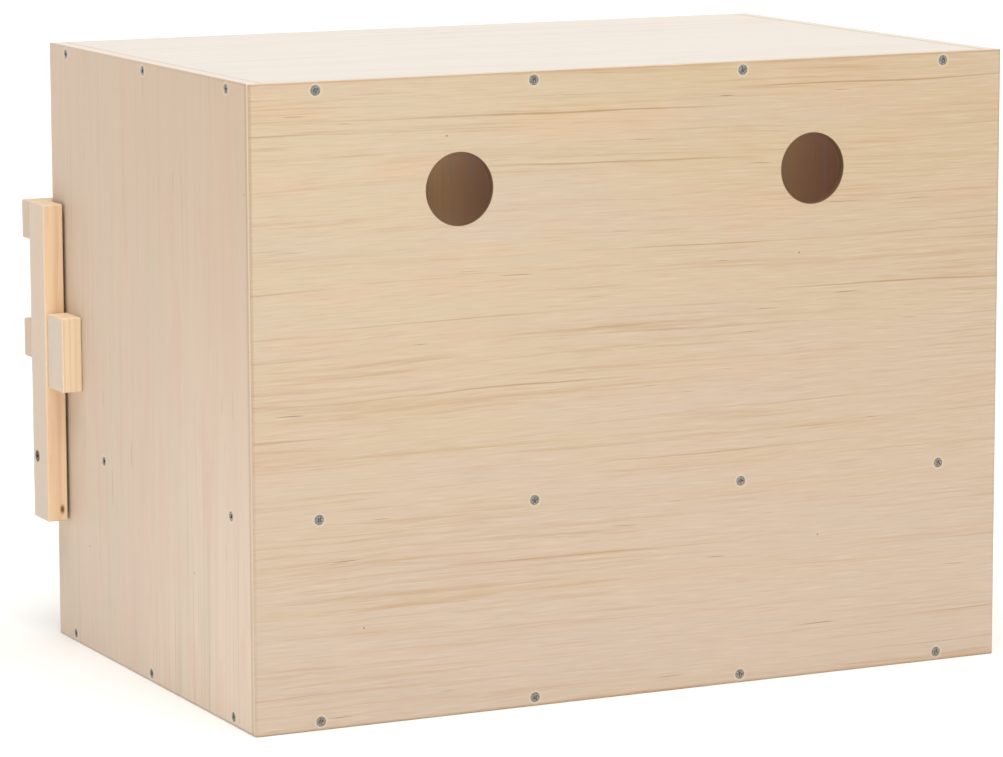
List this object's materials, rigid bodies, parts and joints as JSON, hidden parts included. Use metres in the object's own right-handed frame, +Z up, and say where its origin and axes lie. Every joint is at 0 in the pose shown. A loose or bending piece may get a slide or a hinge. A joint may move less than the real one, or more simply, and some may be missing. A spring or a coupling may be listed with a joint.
{
  "type": "nesting box",
  "caption": "Free-standing wooden laying nest for hens: open-fronted nests over a lower bay, vented plywood back and a fold-up perch frame hinged on the side panels.",
  "frame": {"origin": "on the ground, under the middle of the overall bounding box", "axes": "+Z up, +Y towards the closed rear panel, -Y towards the open nest fronts, +X to the right as seen from the front"},
  "size_m": [0.63, 0.4, 0.45],
  "materials": {
    "plywood": "unfinished sanded plywood with a pale veneer",
    "pine": "planed unfinished pine",
    "zinc_steel": "zinc-plated steel"
  },
  "bodies": {
    "nest_box": {"rear_panel": "plywood", "side_panel_left": "plywood", "side_panel_right": "plywood", "top_panel": "plywood", "bottom_panel": "plywood", "nest_floor": "plywood", "centre_divider": "plywood", "front_litter_board": "pine", "stop_block_left": "pine", "stop_block_right": "pine", "pivot_screw_left": "zinc_steel", "pivot_screw_right": "zinc_steel", "pivot_washer_left": "zinc_steel", "pivot_washer_right": "zinc_steel", "rear_panel_screws": "zinc_steel", "side_panel_screws_left": "zinc_steel", "side_panel_screws_right": "zinc_steel", "divider_screws": "zinc_steel", "litter_board_screws": "zinc_steel", "stop_block_screws_left": "zinc_steel", "stop_block_screws_right": "zinc_steel"},
    "perch_frame": {"perch_arm_left": "pine", "perch_arm_right": "pine", "perch_bar_upper": "pine", "perch_bar_lower": "pine", "upper_bar_screws": "zinc_steel", "lower_bar_screws": "zinc_steel"}
  },
  "joints": [
    {"name": "perch_fold", "type": "hinge", "parent": "nest_box", "child": "perch_frame", "pos_m": [0, -0.176, 0.139], "axis": [1, 0, 0], "range_deg": [0, 90]}
  ]
}
